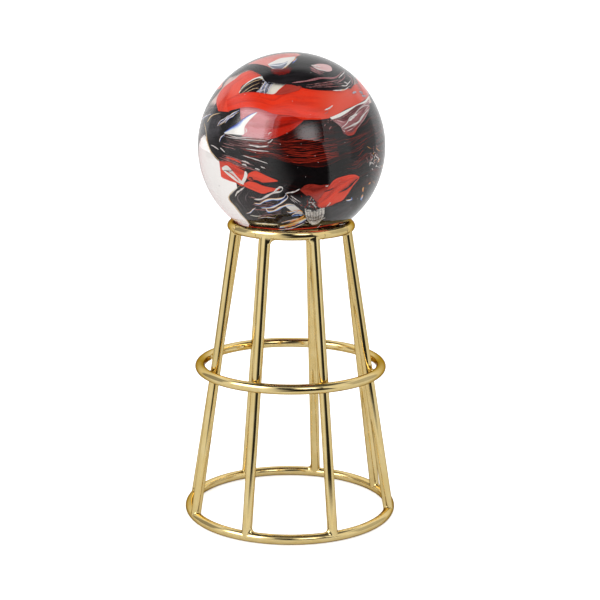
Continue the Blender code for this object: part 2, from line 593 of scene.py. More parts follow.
def edge_flag(name, side):
    """A grey board beside the tent, seen only through the glass: it darkens the orb's rim."""
    board = add(
        name, bpy.ops.mesh.primitive_plane_add, size=1, location=(side, -0.06, 0.25),
        rotation=(0, math.pi / 2, 0))
    board.scale = (*FLAG_SIZE, 1)
    board.data.materials.append(glowing_cloth(name, FLAG_GLOW))
    hide_from(board, "camera", "diffuse", "glossy", "shadow")


def make_view():
    bpy.context.scene.view_settings.view_transform = 'Standard'
    bpy.context.scene.view_settings.look = 'None'


CORE_SHARE = 0.70              # radius of the dark heart of the orb, in orb radii
LAYER = 0.005                  # from one glass sheet to the next, in orb radii
SHEET_THICKNESS = 0.0042       # in orb radii
DRAWN_RADIUS = 100             # the orb's radius on the drawings of its glass, x to the right and y up
DRAWN_RIM = 0.994              # drawings end just inside the rim, as a share of it
GRID_STEP = 1.6                # from one column of a sheet's faces to the next, on the drawing
ROW_STRETCH = 1.3              # its rows lie this much further apart
CURVE_STEPS = 12               # between two drawn points of a smooth line
GUIDE_POINTS = 41              # on each edge of a bundle of threads
MEASURE_POINTS = 40            # on an edge whose length is measured


class Facing:
    """Finds the places inside the glass that one eye sees, bent by the glass, at each point of a drawing."""

    def __init__(self, eye, right, up):
        self.eye = eye
        self.ahead = (GLASS_CENTRE - eye).normalized()
        self.right = right
        self.up = up
        self.spread = math.tan(math.asin(ORB_RADIUS / (GLASS_CENTRE - eye).length))

    def place(self, x, y, share):
        """The place at this share of the orb's radius that is seen at x, y."""
        across, upward = x / DRAWN_RADIUS, y / DRAWN_RADIUS
        squeeze = min(1.0, DRAWN_RIM / max(math.hypot(across, upward), 0.001))
        way = self.ahead + self.spread * squeeze * (across * self.right + upward * self.up)
        way.normalize()
        half = (GLASS_CENTRE - self.eye).dot(way)
        near = (GLASS_CENTRE - self.eye).length_squared - half ** 2
        entry = self.eye + way * (half - math.sqrt(max(ORB_RADIUS ** 2 - near, 0)))
        normal = (entry - GLASS_CENTRE).normalized()
        slope = -way.dot(normal)
        bent = way / GLASS_BEND + normal * (
            slope / GLASS_BEND - math.sqrt(1 - (1 - slope ** 2) / GLASS_BEND ** 2))
        bent.normalize()
        half = (GLASS_CENTRE - entry).dot(bent)
        span = (share * ORB_RADIUS) ** 2 - ORB_RADIUS ** 2 + half ** 2
        return entry + bent * (half - math.sqrt(max(span, 0)))


def smooth_line(points, count):
    """A smooth line through the points, cut into even steps."""
    points = [Vector(point) for point in points]
    padded = [points[0] * 2 - points[1]] + points + [points[-1] * 2 - points[-2]]
    fine = []
    for first, second, third, fourth in zip(padded, padded[1:], padded[2:], padded[3:]):
        for step in range(CURVE_STEPS):
            t = step / CURVE_STEPS
            fine.append(0.5 * (
                second * 2 + (third - first) * t
                + (first * 2 - second * 5 + third * 4 - fourth) * t ** 2
                + (second * 3 - first - third * 3 + fourth) * t ** 3))
    fine.append(points[-1])
    reach = [0.0]
    for first, second in zip(fine, fine[1:]):
        reach.append(reach[-1] + (second - first).length)
    line = []
    at = 0
    for step in range(count):
        goal = reach[-1] * step / (count - 1)
        while at < len(fine) - 2 and reach[at + 1] < goal:
            at += 1
        part = (goal - reach[at]) / max(reach[at + 1] - reach[at], 1e-9)
        line.append(fine[at].lerp(fine[at + 1], min(max(part, 0), 1)))
    return line


def line_length(line):
    return sum((second - first).length for first, second in zip(line, line[1:]))


def flat_grid(name, columns, rows):
    return add(
        name, bpy.ops.mesh.primitive_grid_add, x_subdivisions=columns - 1, y_subdivisions=rows - 1, size=2)


def thicken(sheet):
    """Merges a shaped sheet's pinched ends, faces it outward and gives it its thickness."""
    edit(sheet)
    bpy.ops.mesh.remove_doubles(threshold=0.00001)
    bpy.ops.object.mode_set(mode='OBJECT')
    outward = sum((face.center - GLASS_CENTRE).dot(face.normal) * face.area for face in sheet.data.polygons)
    if outward < 0:
        sheet.data.flip_normals()
    solid = sheet.modifiers.new("thickness", 'SOLIDIFY')
    solid.thickness = SHEET_THICKNESS * ORB_RADIUS
    solid.offset = -1
    bpy.ops.object.modifier_apply(modifier=solid.name)
    bpy.ops.object.shade_smooth_by_angle(angle=math.radians(50))


def lay_sheet(facing, name, finish, layer, upper, lower):
    """A thin glass sheet between two drawn edges, from their first points to their last."""
    longest = max(line_length(smooth_line(edge, MEASURE_POINTS)) for edge in (upper, lower))
    columns = max(6, round(longest / GRID_STEP))
    top_line, low_line = smooth_line(upper, columns), smooth_line(lower, columns)
    widths = [(first - second).length for first, second in zip(top_line, low_line)]
    rows = max(3, round(max(widths) / GRID_STEP / ROW_STRETCH))
    run = (line_length(top_line) + line_length(low_line)) / 2 / DRAWN_RADIUS
    width = max(widths) / DRAWN_RADIUS
    sheet = flat_grid(name, columns, rows)
    spots = []
    for corner in sheet.data.vertices:
        along, across = (corner.co.x + 1) / 2, (corner.co.y + 1) / 2
        column = round(along * (columns - 1))
        drawn = low_line[column].lerp(top_line[column], across)
        corner.co = facing.place(drawn.x, drawn.y, CORE_SHARE + LAYER * layer)
        spots.append((along, across))
    mark_sheet(sheet, spots, run, width)
    thicken(sheet)
    dress(sheet, finish, "glass")


def mark_sheet(sheet, spots, run, width):
    """Keeps each corner's place along and across its sheet, measured in orb radii and as shares."""
    measured = sheet.data.uv_layers[0]
    measured.name = "measured"
    shares = sheet.data.uv_layers.new(name="shares")
    for loop in sheet.data.loops:
        along, across = spots[loop.vertex_index]
        measured.data[loop.index].uv = (along * run, across * width)
        shares.data[loop.index].uv = (along, across)


STROKE_COLUMNS = 20


def lay_strokes(facing, name, finish, layer, strokes):
    """Thin glass threads, each drawn as a width and the line that it follows, tapering at both ends."""
    lines = [smooth_line(points, STROKE_COLUMNS) for width, points in strokes]
    rows = 2 * len(strokes)
    sheet = flat_grid(name, STROKE_COLUMNS, rows)
    spots = []
    for corner in sheet.data.vertices:
        along, row = (corner.co.x + 1) / 2, round((corner.co.y + 1) / 2 * (rows - 1))
        line, width = lines[row // 2], strokes[row // 2][0]
        column = round(along * (STROKE_COLUMNS - 1))
        way = line[min(column + 1, STROKE_COLUMNS - 1)] - line[max(column - 1, 0)]
        side = Vector((way.y, -way.x)).normalized()
        taper = max(math.sin(math.pi * along), 0) ** 0.55
        waver = 0.8 + 0.2 * math.sin(along * 19 + row // 2 * 2.3)
        drawn = line[column] + side * (width * taper * waver * (0.5 if row % 2 else -0.5))
        corner.co = facing.place(drawn.x, drawn.y, CORE_SHARE + LAYER * layer)
        spots.append((along, row % 2))
    mark_sheet(sheet, spots, 1, 1)
    cut_gaps(sheet)
    thicken(sheet)
    dress(sheet, finish, "glass")


def cut_gaps(sheet):
    """Deletes the faces between one thread and the next."""
    work = bmesh.new()
    work.from_mesh(sheet.data)
    gaps = [face for face in work.faces
            if max(corner.index // STROKE_COLUMNS for corner in face.verts) % 2 == 0]
    bmesh.ops.delete(work, geom=gaps, context='FACES_ONLY')
    work.to_mesh(sheet.data)
    work.free()


def threads_between(upper, lower, count, width, seed):
    """Lines for a bundle of threads that run side by side between two drawn edges."""
    chance = random.Random(seed)
    top_line, low_line = smooth_line(upper, GUIDE_POINTS), smooth_line(lower, GUIDE_POINTS)
    strokes = []
    for number in range(count):
        share = (number + chance.uniform(0.1, 0.9)) / count
        first = chance.randint(0, 22)
        last = min(GUIDE_POINTS - 1, first + chance.randint(10, 34))
        drift = chance.uniform(-0.03, 0.03)
        points = []
        for step in range(6):
            at = round(first + (last - first) * step / 5)
            points.append(low_line[at].lerp(top_line[at], share + drift * math.sin(step * 1.3 + number)))
        strokes.append((width * chance.uniform(0.4, 1.4), points))
    return strokes


def crumpled(centre, reach, count, width, seed):
    """Lines for a knot of short, crossing threads."""
    chance = random.Random(seed)
    strokes = []
    for _ in range(count):
        middle = Vector((chance.gauss(centre[0], reach[0]), chance.gauss(centre[1], reach[1])))
        way = Vector((math.cos(chance.uniform(0, math.pi)), math.sin(chance.uniform(0, math.pi))))
        size = chance.uniform(0.8, 2.7)
        bend = Vector((-way.y, way.x)) * chance.uniform(-0.8, 0.8)
        points = (middle - way * size, middle + bend, middle + way * size)
        strokes.append((width * chance.uniform(0.5, 1.5), points))
    return strokes


def specks(count, seed):
    """Tiny dots strewn over the drawing: dust and bubbles in the glass. In a pale finish they are painted
    sparkles, light glinting off the bubbles.
    """
    chance = random.Random(seed)
    strokes = []
    for _ in range(count):
        reach, turn = chance.uniform(0.1, 0.92) * DRAWN_RADIUS, chance.uniform(0, 2 * math.pi)
        spot = Vector((reach * math.cos(turn), reach * math.sin(turn)))
        size = chance.uniform(0.15, 0.4)
        strokes.append((size * 2, (spot - Vector((size, 0)), spot, spot + Vector((size, 0)))))
    return strokes


class GlassFinish(Finish):
    """Coloured glass inside the orb: no reflection of its own, and streaks that follow each sheet."""

    def __init__(self, name, **constants):
        super().__init__(name, Specular_IOR_Level=0.0, Roughness=0.5, **constants)

    def across(self, part):
        shares = self.node('ShaderNodeUVMap', {'uv_map': "shares"})
        return self.node('ShaderNodeSeparateXYZ', {}, shares, output=part)

    def streak(self, along, across, shift, detail=3.0, bend=0.0):
        """Noise drawn out along the sheet."""
        measured = self.node('ShaderNodeUVMap', {'uv_map': "measured"})
        drawn = self.node('ShaderNodeVectorMath', {'operation': 'MULTIPLY'}, measured, (along, across, 1))
        moved = self.node('ShaderNodeVectorMath', {'operation': 'ADD'}, drawn, (shift, shift * 1.7, shift))
        return self.noise(moved, 1.0, detail, 0.55, bend)

    def ramp(self, value, stops):
        return self.node('ShaderNodeValToRGB', {'stops': stops}, value)


def red_glass(name, deep, bright, pale, pale_share, drift=0.0):
    """Red glass in fine streaks. With a drift it grows paler toward the sheet's last points."""
    red = GlassFinish(name)
    body = red.mix(red.streak(2.2, 16.0, 3.0, 5.0, 0.5).between(0.3, 0.62), deep, bright)
    veil = red.streak(1.3, 6.0, 9.0, 4.0, 0.4).between(0.40, 0.70) * pale_share
    if drift:
        veil = veil + red.across(0).between(0.58, 0.74) * drift
    body = red.mix(veil, body, pale)
    line = red.streak(1.8, 70.0, 5.0, 2.0, 0.3).between(0.58, 0.72) * 0.22
    body = red.mix(line, body, deep)
    grain = red.noise(red.place(), 1500.0, 2.0).between(0.25, 0.75) * 0.16
    red.feed("Base Color", red.mix(grain, body, pale))
    return red.material


def plain_glass(name, first, second, along=2.0, across=18.0):
    glass = GlassFinish(name)
    cloud = glass.streak(along, across, 2.0, 4.0, 0.3).between(0.35, 0.65)
    glass.feed("Base Color", glass.mix(cloud, first, second))
    return glass.material


def painted_prism_light(name, stops, waver):
    """Painted light split by a prism: colour that runs from one edge of the sheet to the other stands in for
    the rainbow fringes that the glass makes.
    """
    glass = GlassFinish(name)
    across = glass.across(1) + (glass.streak(6.0, 3.0, 4.0) - 0.5) * waver
    glass.feed("Base Color", glass.ramp(across, stops))
    return glass.material


def striped_glass(name, dark, mid, pale, fine, share=(0.56, 0.66)):
    glass = GlassFinish(name)
    body = glass.mix(glass.streak(2.5, fine * 0.5, 1.0, 3.0, 0.6).between(0.35, 0.62), dark, mid)
    line = glass.streak(2.0, fine, 6.0, 2.0, 0.8).between(*share)
    glass.feed("Base Color", glass.mix(line, body, pale))
    return glass.material


def film_glass(name, colour, most):
    """A film that thins out toward its edges."""
    glass = GlassFinish(name, Base_Color=(*colour, 1))
    along, across = glass.across(0), glass.across(1)
    fade = (across * (1 - across) * 4).between(0.0, 0.8) * (along * (1 - along) * 4).between(0.0, 0.7)
    cloud = glass.streak(2.5, 22.0, 8.0, 4.0, 0.5).between(0.3, 0.65) * 0.6 + 0.4
    glass.feed("Alpha", fade * cloud * most)
    return glass.material


def cell_glass(name):
    """A froth of tiny bubbles: pale cells with darker walls."""
    froth = GlassFinish(name)
    wall = froth.node(
        'ShaderNodeTexVoronoi', {'feature': 'DISTANCE_TO_EDGE'}, Vector=froth.place(), Scale=1300.0)
    cloud = froth.noise(froth.place(), 500.0, 3.0)
    body = froth.mix(cloud.between(0.35, 0.6), (0.58, 0.55, 0.53), (0.95, 0.93, 0.90))
    froth.feed("Base Color", froth.mix(wall.between(0.0, 0.10), (0.42, 0.37, 0.36), body))
    return froth.material


def core_finish():
    """Black glass with dark red and grey threads that sag toward the front."""
    core = GlassFinish("black_glass")
    place = core.node('ShaderNodeVectorMath', {'operation': 'SUBTRACT'}, core.place(), tuple(GLASS_CENTRE))
    place = core.node('ShaderNodeVectorMath', {'operation': 'MULTIPLY'}, place, (1 / ORB_RADIUS,) * 3)
    x, y, z = (core.node('ShaderNodeSeparateXYZ', {}, place, output=part) for part in range(3))
    wave = core.noise(place, 3.0, 2.0)
    level = z - (x - 0.1) * (x - 0.1) * 0.42 + wave * 0.10

    def layers(along, across, shift, detail):
        vector = core.node('ShaderNodeCombineXYZ', {}, x * along + shift, y * along, level * across)
        return core.noise(vector, 1.0, detail, 0.5, 0.15)

    patch = core.noise(place, 2.2, 2.0)
    thread = layers(2.0, 34.0, 3.0, 3.0).between(0.50, 0.66) * patch.between(0.36, 0.52)
    bright = layers(2.4, 52.0, 7.0, 1.0).between(0.56, 0.70) * patch.between(0.42, 0.58)
    grey = layers(2.2, 40.0, 11.0, 1.0).between(0.52, 0.72) * core.noise(place, 3.3, 1.0).between(0.38, 0.58)
    body = core.mix(thread * 0.4, (0.0050, 0.0040, 0.0045), (0.085, 0.008, 0.006))
    body = core.mix(bright * 0.25, body, (0.26, 0.020, 0.012))
    core.feed("Base Color", core.mix(grey * 0.5, body, (0.030, 0.024, 0.030)))
    return core.material


# The dent in the heart where the orb is clear, at the lower left: depth in orb radii, angles in degrees
DENT_DEPTH = 0.25
DENT_TURN = 207                # its middle, counted round the view from the right
DENT_SPREAD = 24
DENT_START = 38                # where it begins, counted from the side that faces the eye
DENT_RISE = 34                 # from there to its full depth
DENT_FALL = 26                 # from its full depth to its end at the far side


def ease(share):
    """A smooth step from 0 to 1."""
    share = min(max(share, 0.0), 1.0)
    return share * share * (3 - 2 * share)


def make_core(facing):
    """The dark heart: a glass ball with a ragged dent."""
    core = add(
        "black_glass_heart", bpy.ops.mesh.primitive_uv_sphere_add, segments=160, ring_count=80, radius=1)
    turn = random.Random(4)
    waves = [(turn.uniform(3, 9), turn.uniform(0, 6.28)) for _ in range(6)]
    square_right = (facing.right - facing.ahead * facing.right.dot(facing.ahead)).normalized()
    square_up = square_right.cross(facing.ahead)
    for corner in core.data.vertices:
        way = corner.co.normalized()
        right, up, ahead = way.dot(square_right), way.dot(square_up), way.dot(facing.ahead)
        around = math.degrees(math.atan2(up, right)) % 360
        dent = DENT_DEPTH * math.exp(-((around - DENT_TURN) / DENT_SPREAD) ** 2 / 2)
        from_eye = math.degrees(math.acos(max(-1, min(1, -ahead))))
        dent *= ease((from_eye - DENT_START) / DENT_RISE) * ease((180 - from_eye) / DENT_FALL)
        ragged = sum(math.sin(math.radians(around) * pace * 2 + phase + ahead * 4) for pace, phase in waves)
        limit = CORE_SHARE - dent * (1 + 0.03 * ragged)
        corner.co = GLASS_CENTRE + way * limit * ORB_RADIUS
    bpy.ops.object.shade_smooth()
    dress(core, core_finish(), "glass")


def front_facing():
    """The drawing of the front, as the camera sees it."""
    turn = CAMERA_TURN.to_3x3()
    return Facing(CAMERA_PLACE, turn @ Vector((1, 0, 0)), turn @ Vector((0, 1, 0)))


def back_facing():
    """The drawing of the back, for an eye that looks at the orb from behind, a little from above."""
    eye = toward(180, 10, (CAMERA_PLACE - ORB_CENTRE).length)
    ahead = (GLASS_CENTRE - eye).normalized()
    right = ahead.cross(Vector((0, 0, 1))).normalized()
    return Facing(eye, right, right.cross(ahead))


RED_BRIGHT = (0.88, 0.036, 0.009)
# WHITE and CREAM are the pale glass of clear gaps: painted light, the backdrop seen through the glass.
WHITE = (0.90, 0.885, 0.85)
CREAM = (0.88, 0.84, 0.72)
# Painted light: the pale blue, blue and orange below stand in for light split into colours by the glass.
RAINBOW_AZURE = (0.42, 0.55, 0.82)
RAINBOW_BLUE = (0.03, 0.07, 0.50)
RAINBOW_ORANGE = (0.80, 0.30, 0.05)
SOOT = (0.006, 0.005, 0.006)


# Red glass: its name, deep, bright and pale colour, share of the pale, and how much that grows at its end
RED_GLASS = {
    "band": ("red_band_glass", (0.66, 0.022, 0.008), RED_BRIGHT, (0.80, 0.10, 0.055), 0.12, 0.7),
    "coral": ("coral_glass", (0.64, 0.026, 0.010), (0.88, 0.055, 0.020), (0.88, 0.14, 0.08), 0.35),
    "petal": ("petal_glass", (0.46, 0.018, 0.008), (0.86, 0.050, 0.018), (0.88, 0.12, 0.06), 0.3),
    "deep": ("deep_red_glass", (0.16, 0.005, 0.003), (0.52, 0.012, 0.004), (0.55, 0.05, 0.03), 0.4),
    "dull": ("dull_red_glass", (0.14, 0.012, 0.009), (0.42, 0.035, 0.022), (0.50, 0.08, 0.06), 0.4),
    "pink": ("pink_red_glass", (0.50, 0.07, 0.05), (0.76, 0.16, 0.13), (0.84, 0.42, 0.40), 0.8),
    "rose": ("rose_glass", (0.45, 0.16, 0.16), (0.68, 0.36, 0.37), (0.80, 0.60, 0.60), 0.8),
    "veil": ("veiled_red_glass", (0.42, 0.04, 0.05), (0.58, 0.13, 0.15), (0.62, 0.28, 0.31), 0.9),
}

# Plain glass: its name, its two colours, and how fine its streaks are along and across
PLAIN_GLASS = {
    "black": ("smoky_black_glass", (0.004, 0.0035, 0.004), (0.018, 0.015, 0.018)),
    # white and cream: painted light, pale glass that stands in for clear gaps where the backdrop shows
    # through, and for gleams
    "white": ("clear_gap", WHITE, (0.80, 0.79, 0.76), 2.0, 8.0),
    "cream": ("cream_gap", CREAM, (0.82, 0.79, 0.70), 2.0, 8.0),
    "haze": ("rim_haze", (0.68, 0.46, 0.42), (0.84, 0.70, 0.66), 2.0, 9.0),
    "line": ("white_thread", (0.86, 0.83, 0.81), (0.62, 0.54, 0.54), 4.0, 2.0),
    "pinkline": ("pink_thread", (0.55, 0.30, 0.30), (0.26, 0.06, 0.06), 4.0, 2.0),
    "redline": ("red_thread", (0.42, 0.035, 0.018), (0.16, 0.010, 0.006), 4.0, 2.0),
    "dark": ("black_thread", SOOT, (0.014, 0.010, 0.012)),
    # amber, orange and blue: painted light, the fringes and glints of light split by the glass
    "amber": ("amber_fringe", (0.62, 0.36, 0.14), (0.86, 0.72, 0.48), 9.0, 2.0),
    "orange": ("orange_glint", (0.90, 0.19, 0.03), (0.88, 0.52, 0.14), 3.0, 2.0),
    "blue": ("blue_glint", (0.04, 0.10, 0.60), (0.30, 0.55, 0.90), 3.0, 2.0),
}

# Striped glass: its name, dark, middle and pale colour, fineness, and where the noise turns into a stripe
STRIPED_GLASS = {
    "smoke": (
        "streaked_smoky_glass", SOOT, (0.022, 0.014, 0.017), (0.17, 0.13, 0.14), 46.0, (0.60, 0.72)),
    "threaded": (
        "red_threaded_glass", SOOT, (0.040, 0.005, 0.004), (0.30, 0.022, 0.012), 60.0, (0.57, 0.74)),
    "pinkthread": (
        "pink_threaded_glass", (0.006, 0.004, 0.005), (0.045, 0.010, 0.011), (0.34, 0.10, 0.10), 60.0,
        (0.60, 0.76)),
    "mauve": ("mauve_striped_glass", (0.10, 0.020, 0.026), (0.42, 0.15, 0.17), (0.84, 0.64, 0.64), 40.0),
    "bluish": ("bluish_gap", (0.16, 0.18, 0.24), (0.48, 0.52, 0.62), (0.80, 0.84, 0.90), 30.0),
}

# Painted light split by the glass, colours from edge to edge: its name, the colours' places, and how much
# the edges waver
PAINTED_PRISM_LIGHT = {
    "blue_edge": ("blue_edged_gap", (
        (0.0, WHITE), (0.62, WHITE), (0.76, RAINBOW_AZURE), (0.88, RAINBOW_BLUE), (1.0, SOOT)), 0.16),
    "fringe": ("fringed_thread", (
        (0.0, RAINBOW_ORANGE), (0.22, CREAM), (0.45, WHITE), (0.72, RAINBOW_AZURE), (1.0, RAINBOW_BLUE)), 0.3),
    "rainbow": ("rainbow_glass", (
        (0.0, SOOT), (0.12, RAINBOW_BLUE), (0.30, (0.70, 0.82, 0.95)), (0.52, WHITE), (0.70, (0.95, 0.75, 0.25)),
        (0.88, RAINBOW_ORANGE), (1.0, SOOT)), 0.4),
}


def glass_finishes():
    finishes = {
        "froth": cell_glass("bubble_froth"),
        "smoke_film": film_glass("smoky_film", (0.07, 0.065, 0.075), 0.75),
        "red_film": film_glass("red_film", (0.30, 0.012, 0.009), 0.55),
    }
    kinds = ((red_glass, RED_GLASS), (plain_glass, PLAIN_GLASS), (striped_glass, STRIPED_GLASS),
             (painted_prism_light, PAINTED_PRISM_LIGHT))
    for make, table in kinds:
        for key, values in table.items():
            finishes[key] = make(*values)
    return finishes


# Glass sheets as the front shows them: name, finish, layer, upper edge, lower edge
FRONT_SHEETS = (
    ("left_mass", "black", 1, ((-83, 41), (-91, 29), (-93, 24), (-91, 16), (-90, 6), (-86, -5), (-81, -12),
     (-74, -17), (-52, -24)),
     ((-60, 39), (-63, 30), (-64, 22), (-62, 13), (-60, 5), (-56, -3), (-52, -10), (-47, -15),
     (-36, -22))),
    ("lower_mass", "smoke", 1, ((-53, -41), (-60, -46), (-64, -50), (-67, -53), (-66, -57), (-60, -63),
     (-53, -73), (-48, -78), (-44, -84)),
     ((-3, -40), (-8, -45), (-11, -52), (-12, -59), (-11, -66), (-8, -73), (-6, -78), (-3, -82),
     (0, -88))),
    ("upper_rim_haze", "haze", 1, ((-91, 28), (-89, 42), (-77, 58), (-67, 72), (-49, 82), (-40, 90)),
     ((-84, 39), (-80, 48), (-73, 58), (-60, 70), (-49, 78), (-39, 86))),
    ("right_rim_gap", "haze", 1, ((57, 79), (67, 72), (74, 62), (82, 54), (85, 47)),
     ((56, 75), (64, 69), (71, 61), (78, 52), (82, 46))),
    ("red_cap", "pink", 2, ((-48, 86), (-38, 94), (-25, 99), (-11, 101), (1, 101), (11, 97)),
     ((-47, 86), (-38, 87), (-27, 86), (-18, 82), (-6, 85), (9, 95))),
    # Painted light: the cap hole's white glass stands in for the backdrop seen through a clear gap.
    ("cap_hole", "white", 4, ((-25, 88), (-19, 91), (-12, 94), (-5, 95), (4, 96)),
     ((-25, 87), (-20, 83), (-12, 82), (-5, 86), (3, 93))),
    ("cap_hole_shade", "bluish", 5, ((-24, 87), (-18, 88), (-10, 89), (-4, 91)),
     ((-22, 85), (-17, 83), (-11, 83), (-6, 87))),
    # Painted light: a rainbow of light split by the glass at the cap hole's edge.
    ("cap_rainbow", "rainbow", 6, ((-8, 84), (-3, 87), (2, 92), (6, 96)),
     ((-6, 82), (0, 85), (4, 90), (8, 95))),
    ("left_ribbon", "coral", 3, ((-78, 38), (-80, 48), (-77, 57), (-70, 65), (-60, 72), (-53, 78),
     (-43, 82)),
     ((-67, 37), (-59, 44), (-55, 54), (-54, 63), (-48, 68), (-39, 72), (-32, 76))),
    # Painted light: the window's pale glass stands in for the backdrop seen through a clear gap.
    ("window", "cream", 2, ((-30, 65), (-26, 71), (-17, 69), (-5, 68), (4, 68)),
     ((-31, 58), (-23, 56), (-17, 56), (-8, 62), (3, 67))),
    ("window_blue", "bluish", 3, ((-38, 59), (-34, 67), (-30, 71), (-25, 73), (-22, 69)),
     ((-37, 58), (-32, 57), (-26, 58), (-24, 63), (-21, 69))),
    ("dark_wedge", "smoke", 4, ((-56, 57), (-52, 63), (-44, 68), (-36, 70), (-29, 70)),
     ((-55, 56), (-48, 57), (-41, 58), (-36, 60), (-30, 67))),
    ("wedge_lid", "white", 4, ((-56, 58), (-51, 65), (-43, 71), (-36, 74), (-30, 75), (-27, 70)),
     ((-56, 57), (-51, 64), (-43, 70), (-35, 73), (-30, 71), (-26, 69))),
    ("red_band", "band", 5, ((-69, 50), (-59, 55), (-48, 58), (-38, 58), (-29, 57), (-19, 56), (-12, 62),
     (-4, 67), (7, 65), (19, 63), (30, 62), (41, 61), (52, 60), (61, 63), (73, 68), (79, 63), (83, 58)),
     ((-68, 38), (-60, 40), (-52, 42), (-44, 42), (-36, 41), (-27, 38), (-19, 35), (-11, 34), (0, 33),
     (11, 29), (20, 29), (30, 29), (42, 31), (50, 35), (58, 40), (70, 45), (81, 52))),
    ("band_gauze", "dull", 6, ((-18, 56), (-12, 61), (-6, 66), (3, 67), (11, 64)),
     ((-16, 55), (-8, 56), (0, 58), (7, 60), (11, 63))),
    ("hanging_red", "deep", 4, ((-25, 41), (-14, 36), (-3, 35), (5, 33), (14, 31)),
     ((-30, 8), (-19, 9), (-11, 12), (1, 18), (12, 27))),
    ("hanging_pink", "veil", 4, ((-55, 43), (-47, 43), (-36, 41), (-25, 39), (-14, 35)),
     ((-53, 11), (-45, 10), (-33, 8), (-22, 9), (-19, 27))),
    # Painted light: pale glass for the backdrop seen through a clear gap, with a painted blue fringe of
    # split light.
    ("left_window", "blue_edge", 5, ((-72, 15), (-67, 19), (-60, 24), (-53, 29), (-45, 34), (-37, 37)),
     ((-71, 14), (-60, 13), (-51, 13), (-50, 21), (-46, 27), (-37, 36))),
    ("striped_patch", "mauve", 6, ((42, 30), (49, 33), (57, 37), (70, 44), (82, 50)),
     ((45, 27), (52, 21), (57, 13), (68, 18), (78, 30), (83, 41))),
    ("patch_foot", "dull", 6, ((57, 17), (60, 17), (65, 19), (70, 22)),
     ((57, 15), (60, 12), (66, 13), (70, 19))),
    ("patch_edge", "white", 8, ((41, 31), (50, 35), (58, 39), (70, 45), (78, 49), (82, 54)),
     ((43, 29), (52, 32), (60, 37), (70, 44), (79, 47), (83, 53))),
    ("low_petal_a", "petal", 5, ((-77, -15), (-73, -16), (-65, -18), (-58, -22), (-48, -27)),
     ((-75, -32), (-66, -36), (-58, -39), (-52, -42), (-48, -34))),
    ("low_petal_wedge", "white", 6, ((-74, -22), (-69, -20), (-63, -26), (-57, -33), (-50, -40)),
     ((-74, -24), (-69, -29), (-64, -33), (-57, -38), (-50, -41))),
    ("low_petal_spike", "white", 7, ((-49, -26), (-47, -30), (-49, -36), (-52, -40)),
     ((-50, -27), (-51, -32), (-53, -36), (-55, -40))),
    ("low_petal_b", "petal", 6, ((-48, -32), (-45, -28), (-39, -26), (-33, -28), (-27, -31), (-15, -36)),
     ((-48, -33), (-44, -36), (-38, -36), (-32, -38), (-26, -38), (-15, -37))),
    ("low_petal_c", "petal", 7, ((-51, -40), (-46, -37), (-39, -38), (-32, -41), (-25, -43), (-13, -45)),
     ((-51, -42), (-44, -45), (-37, -48), (-30, -50), (-23, -48), (-13, -46))),
    ("right_petal_dark", "dull", 4, ((9, -46), (15, -41), (22, -40), (31, -41), (40, -40)),
     ((10, -47), (17, -53), (23, -57), (28, -60), (40, -43))),
    ("right_petal", "petal", 5, ((26, -61), (31, -54), (37, -47), (43, -38), (48, -34), (54, -32),
     (62, -30), (68, -30), (72, -32)),
     ((27, -63), (31, -65), (41, -63), (47, -60), (54, -57), (60, -50), (66, -41), (71, -35), (72, -33))),
    ("top_black", "black", 7, ((-64, 75), (-53, 84), (-43, 88), (-31, 87), (-20, 83), (-8, 83), (1, 91),
     (8, 97), (22, 97), (35, 93), (46, 87), (57, 80)),
     ((-64, 74), (-51, 81), (-45, 82), (-37, 79), (-32, 76), (-28, 70), (-17, 68), (-5, 67), (8, 65),
     (24, 63), (38, 63), (55, 68))),
    ("top_foot", "smoke", 6, ((0, 69), (11, 68), (24, 68), (38, 69), (50, 71), (63, 69)),
     ((0, 66), (11, 63), (22, 61), (35, 60), (49, 60), (63, 63))),
    ("top_oval", "rose", 8, ((21, 86), (27, 88), (34, 88), (41, 86), (43, 83)),
     ((22, 86), (27, 83), (33, 81), (39, 80), (43, 81))),
    ("loop_black", "black", 9, ((53, 79), (58, 80), (63, 77), (66, 72), (66, 66), (63, 62)),
     ((52, 73), (56, 74), (59, 72), (61, 69), (61, 66), (59, 63))),
    ("bubble_cup", "froth", 9, ((14, -66), (19, -67), (24, -68), (31, -66), (35, -65)),
     ((15, -74), (18, -80), (23, -83), (30, -80), (35, -71))),
    ("cup_shade", "smoke", 6, ((14, -54), (18, -52), (22, -54), (27, -60)),
     ((14, -63), (18, -67), (23, -67), (28, -64))),
    ("diagonal_strip", "smoke", 7, ((-12, -42), (-6, -45), (1, -51), (9, -55), (16, -65)),
     ((-12, -44), (-8, -50), (-1, -58), (7, -65), (15, -69))),
    ("gleam", "white", 6, ((-6, -61), (0, -61), (6, -64), (12, -71)),
     ((-7, -63), (-2, -67), (3, -70), (11, -72))),
    # Painted light: a rainbow of light split by the glass, low on the orb.
    ("low_rainbow", "rainbow", 6, ((-12, -84), (-3, -82), (7, -78), (15, -75)),
     ((-13, -87), (-4, -86), (7, -83), (16, -78))),
    ("mid_veil", "pinkthread", 2, ((-72, 13), (-55, 10), (-38, 10), (-22, 11)),
     ((-66, 2), (-52, -4), (-38, -7), (-19, -7))),
    ("mid_threads", "threaded", 2, ((-26, 8), (-11, 12), (8, 22), (30, 27), (42, 28)),
     ((-25, -11), (-3, -18), (16, -21), (35, -21), (52, -14))),
)

FRONT_FILMS = (
    ("left_smoke", "smoke_film", 2, ((-99, 41), (-85, 49), (-74, 38)), ((-99, 13), (-90, 5), (-74, 13))),
    ("lower_smoke", "smoke_film", 8, ((33, -63), (46, -60), (66, -54)), ((38, -78), (52, -77), (68, -66))),
    ("cap_shade", "red_film", 8, ((-25, 83), (-12, 84), (2, 85)), ((-20, 77), (-10, 76), (0, 79))),
    ("window_shade", "smoke_film", 6, ((-19, 69), (-11, 68), (1, 67)), ((-19, 66), (-11, 66), (1, 66))),
)

